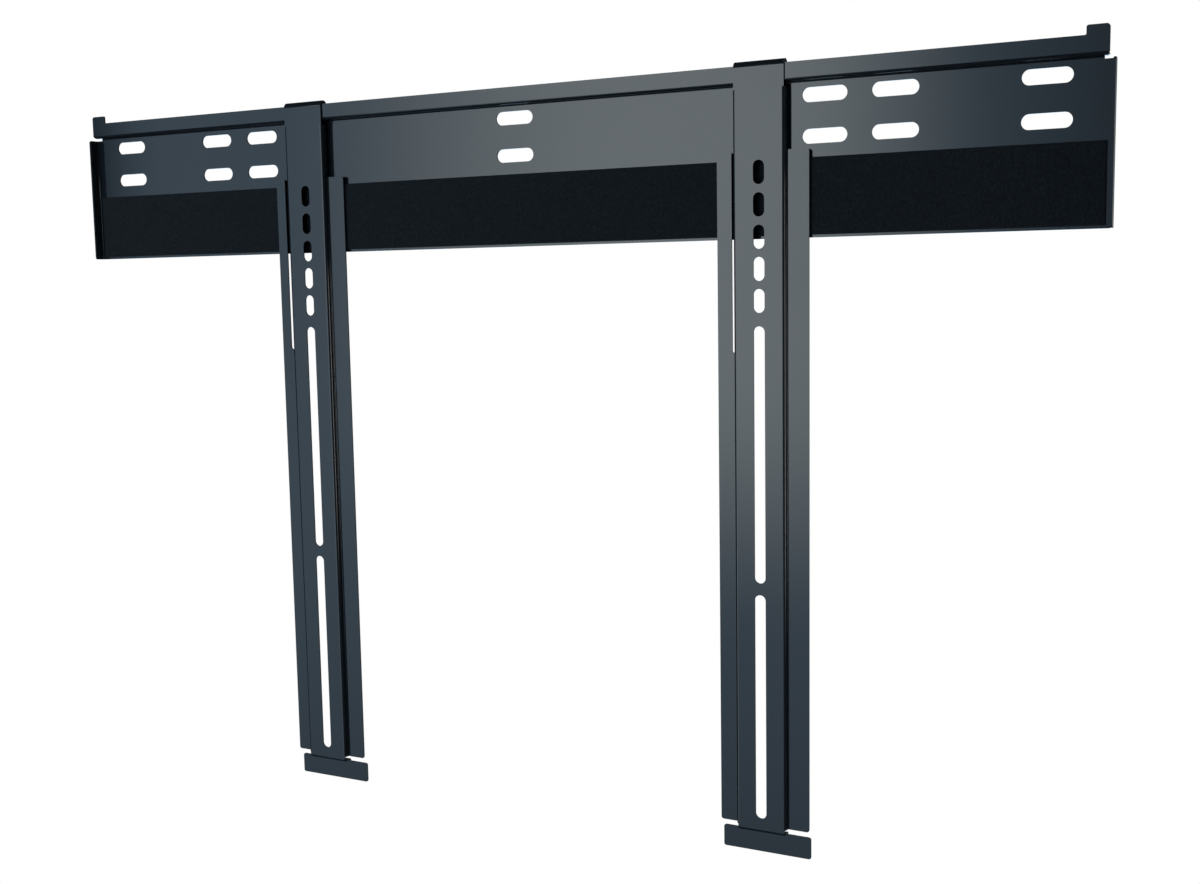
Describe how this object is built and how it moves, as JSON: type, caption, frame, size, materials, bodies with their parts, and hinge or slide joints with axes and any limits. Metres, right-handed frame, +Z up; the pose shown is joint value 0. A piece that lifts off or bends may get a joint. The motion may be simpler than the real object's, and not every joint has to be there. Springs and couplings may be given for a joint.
{
  "type": "tv wall mount",
  "caption": "Slim folded-steel wall plate with a raised rail, and slotted screen brackets that hook over the rail and stand on feet at the wall.",
  "frame": {"origin": "on the wall plane, at the centre of the wall plate's slot field", "axes": "+Z up the wall, +X to the viewer's right along the rail, -Y out of the wall towards the screen"},
  "size_m": [0.9, 0.0098, 0.5965],
  "materials": {
    "black_steel": "semi-gloss black powder coat",
    "strip_tape": "woven loop tape, matte black",
    "pad_tape": "hook tape, matte black"
  },
  "bodies": {
    "root": {"wall_plate": "black_steel", "plate_strip": "strip_tape", "left_bracket": "black_steel", "right_bracket": "black_steel", "left_bracket_left_pad": "pad_tape", "left_bracket_right_pad": "pad_tape", "right_bracket_left_pad": "pad_tape", "right_bracket_right_pad": "pad_tape"}
  },
  "joints": []
}
